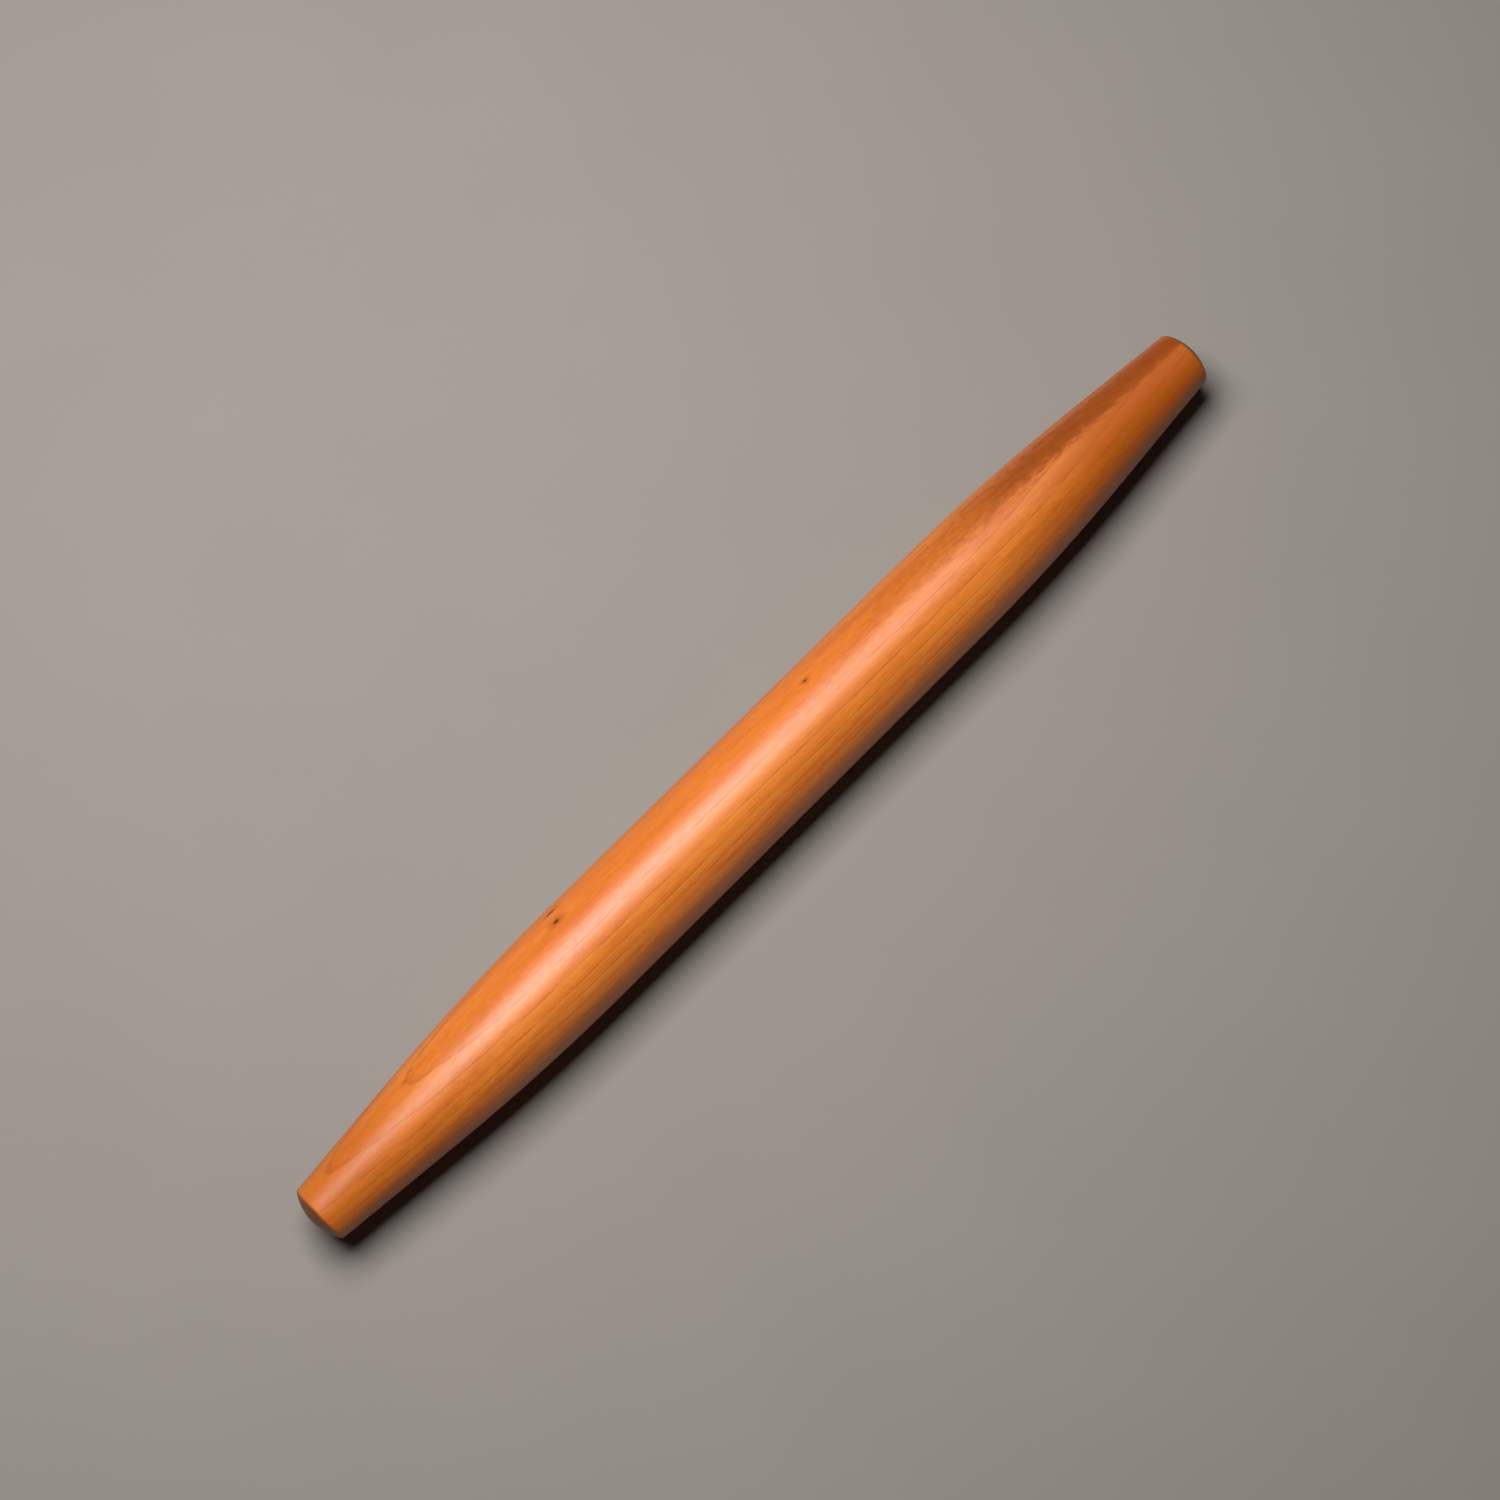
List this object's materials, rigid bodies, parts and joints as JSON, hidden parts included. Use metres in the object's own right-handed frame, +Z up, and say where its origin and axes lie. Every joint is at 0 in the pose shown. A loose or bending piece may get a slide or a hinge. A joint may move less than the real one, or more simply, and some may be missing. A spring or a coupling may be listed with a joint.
{
  "type": "french rolling pin",
  "caption": "Solid hardwood rolling pin without handles: a straight barrel that sweeps into a slim straight taper at each side and ends in gently crowned tips.",
  "frame": {"origin": "the pin's centre: on its axis, halfway between the two tips", "axes": "+X along the pin's axis, +Z up as the pin lies on a table, +Y across it"},
  "size_m": [0.5, 0.045, 0.0449],
  "materials": {
    "oiled_hardwood": "orange-brown fine-grained hardwood, sanded and oiled to a satin sheen"
  },
  "bodies": {
    "root": {"rolling_pin": "oiled_hardwood"}
  },
  "joints": []
}
